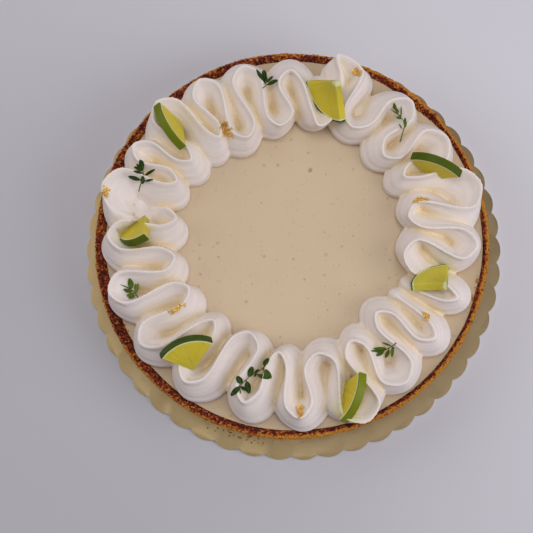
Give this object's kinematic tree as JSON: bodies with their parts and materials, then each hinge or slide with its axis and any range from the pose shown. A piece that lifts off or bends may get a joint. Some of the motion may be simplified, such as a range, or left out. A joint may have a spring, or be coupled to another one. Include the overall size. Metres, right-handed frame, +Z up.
{
  "type": "key lime pie",
  "caption": "Uncut round key lime pie in a crumb crust on a scalloped gold card, with a ruffled cream border, lime quarters, thyme and gold leaf.",
  "frame": {"origin": "centre of the card's underside", "axes": "+Z up through the middle of the pie, +Y away from the viewer, +X to the viewer's right"},
  "size_m": [0.254, 0.2536, 0.0633],
  "materials": {
    "gold_card": "satin gold foil",
    "biscuit_crumb": "rough baked crumb",
    "lime_filling": "satin set custard",
    "piped_cream": "soft satin",
    "lime": "moist",
    "thyme": "satin leaf"
  },
  "bodies": {
    "root": {"cake_card": "gold_card", "crust": "biscuit_crumb", "filling": "lime_filling", "cream": "piped_cream", "lime_1": "lime", "lime_2": "lime", "lime_3": "lime", "lime_4": "lime", "lime_5": "lime", "lime_6": "lime", "lime_7": "lime", "thyme_1": "thyme", "thyme_2": "thyme", "thyme_3": "thyme", "thyme_4": "thyme", "thyme_5": "thyme", "thyme_6": "thyme"}
  },
  "joints": []
}
